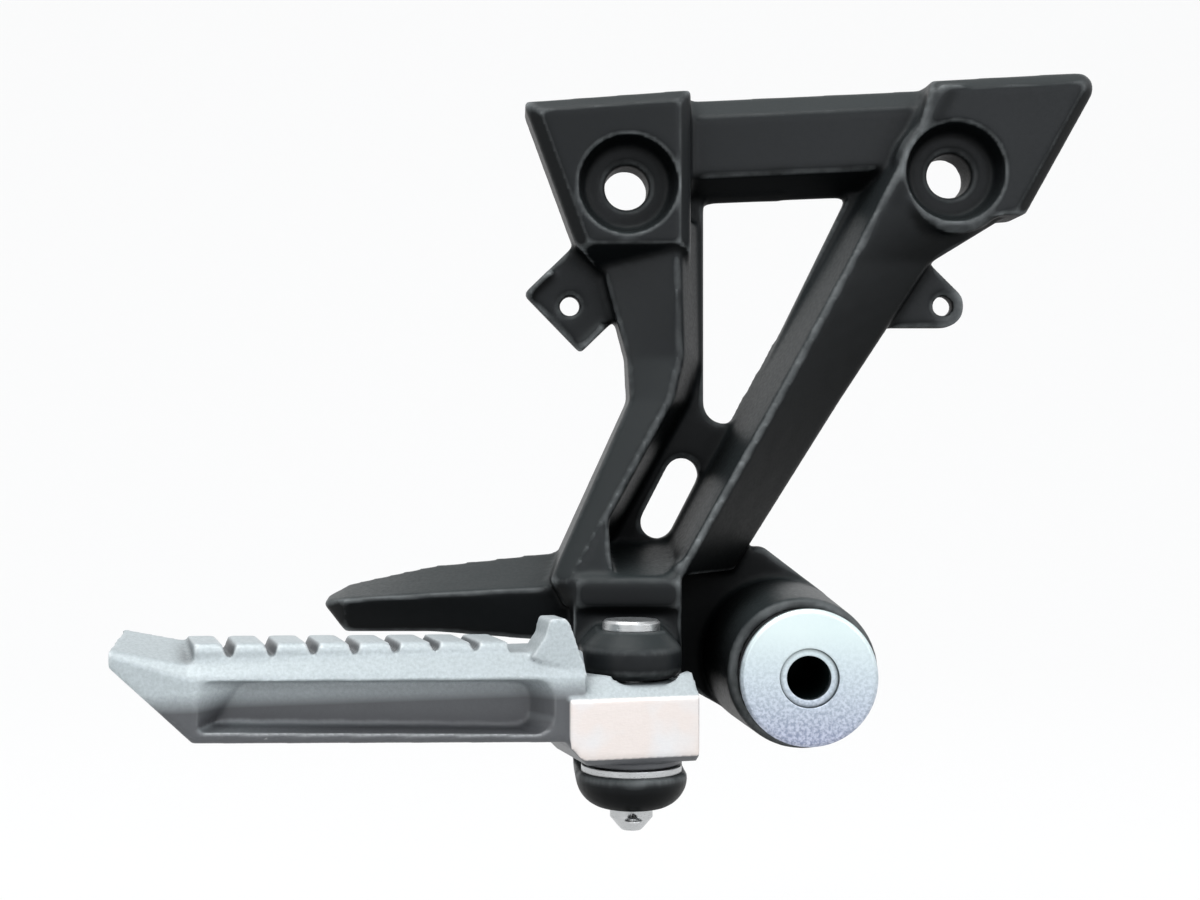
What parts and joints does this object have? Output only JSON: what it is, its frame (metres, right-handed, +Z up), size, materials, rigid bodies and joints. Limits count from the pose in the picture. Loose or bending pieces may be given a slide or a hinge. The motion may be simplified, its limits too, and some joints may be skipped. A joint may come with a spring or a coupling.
{
  "type": "motorcycle passenger footrest",
  "caption": "Black cast hanger that bolts to a motorcycle frame, with a folding toothed aluminium passenger footpeg on a hinge pin and a rubber-bushed exhaust mount at its foot.",
  "frame": {"origin": "midway between the two frame bolt holes, on the hanger's face that meets the frame", "axes": "+X toward the front of the machine, +Y inward to the frame along the bolts, +Z up"},
  "size_m": [0.186, 0.0713, 0.1471],
  "materials": {
    "black_paint": "satin",
    "cast_aluminium": "satin",
    "pin_steel": "satin",
    "bush_rubber": "matte",
    "zinc_steel": "satin"
  },
  "bodies": {
    "hanger": {"hanger_bracket": "black_paint", "pivot_pin": "pin_steel", "split_pin": "pin_steel", "detent_plate": "pin_steel", "mount_grommet": "bush_rubber", "mount_collar": "zinc_steel", "mount_flange": "zinc_steel"},
    "peg": {"foot_peg": "cast_aluminium", "detent_ball": "pin_steel", "detent_spring": "pin_steel"}
  },
  "joints": [
    {"name": "peg_fold", "type": "hinge", "parent": "hanger", "child": "peg", "pos_m": [-0.0337, -0.037, -0.105], "axis": [0, 0, 1], "range_deg": [-15, 75]}
  ]
}
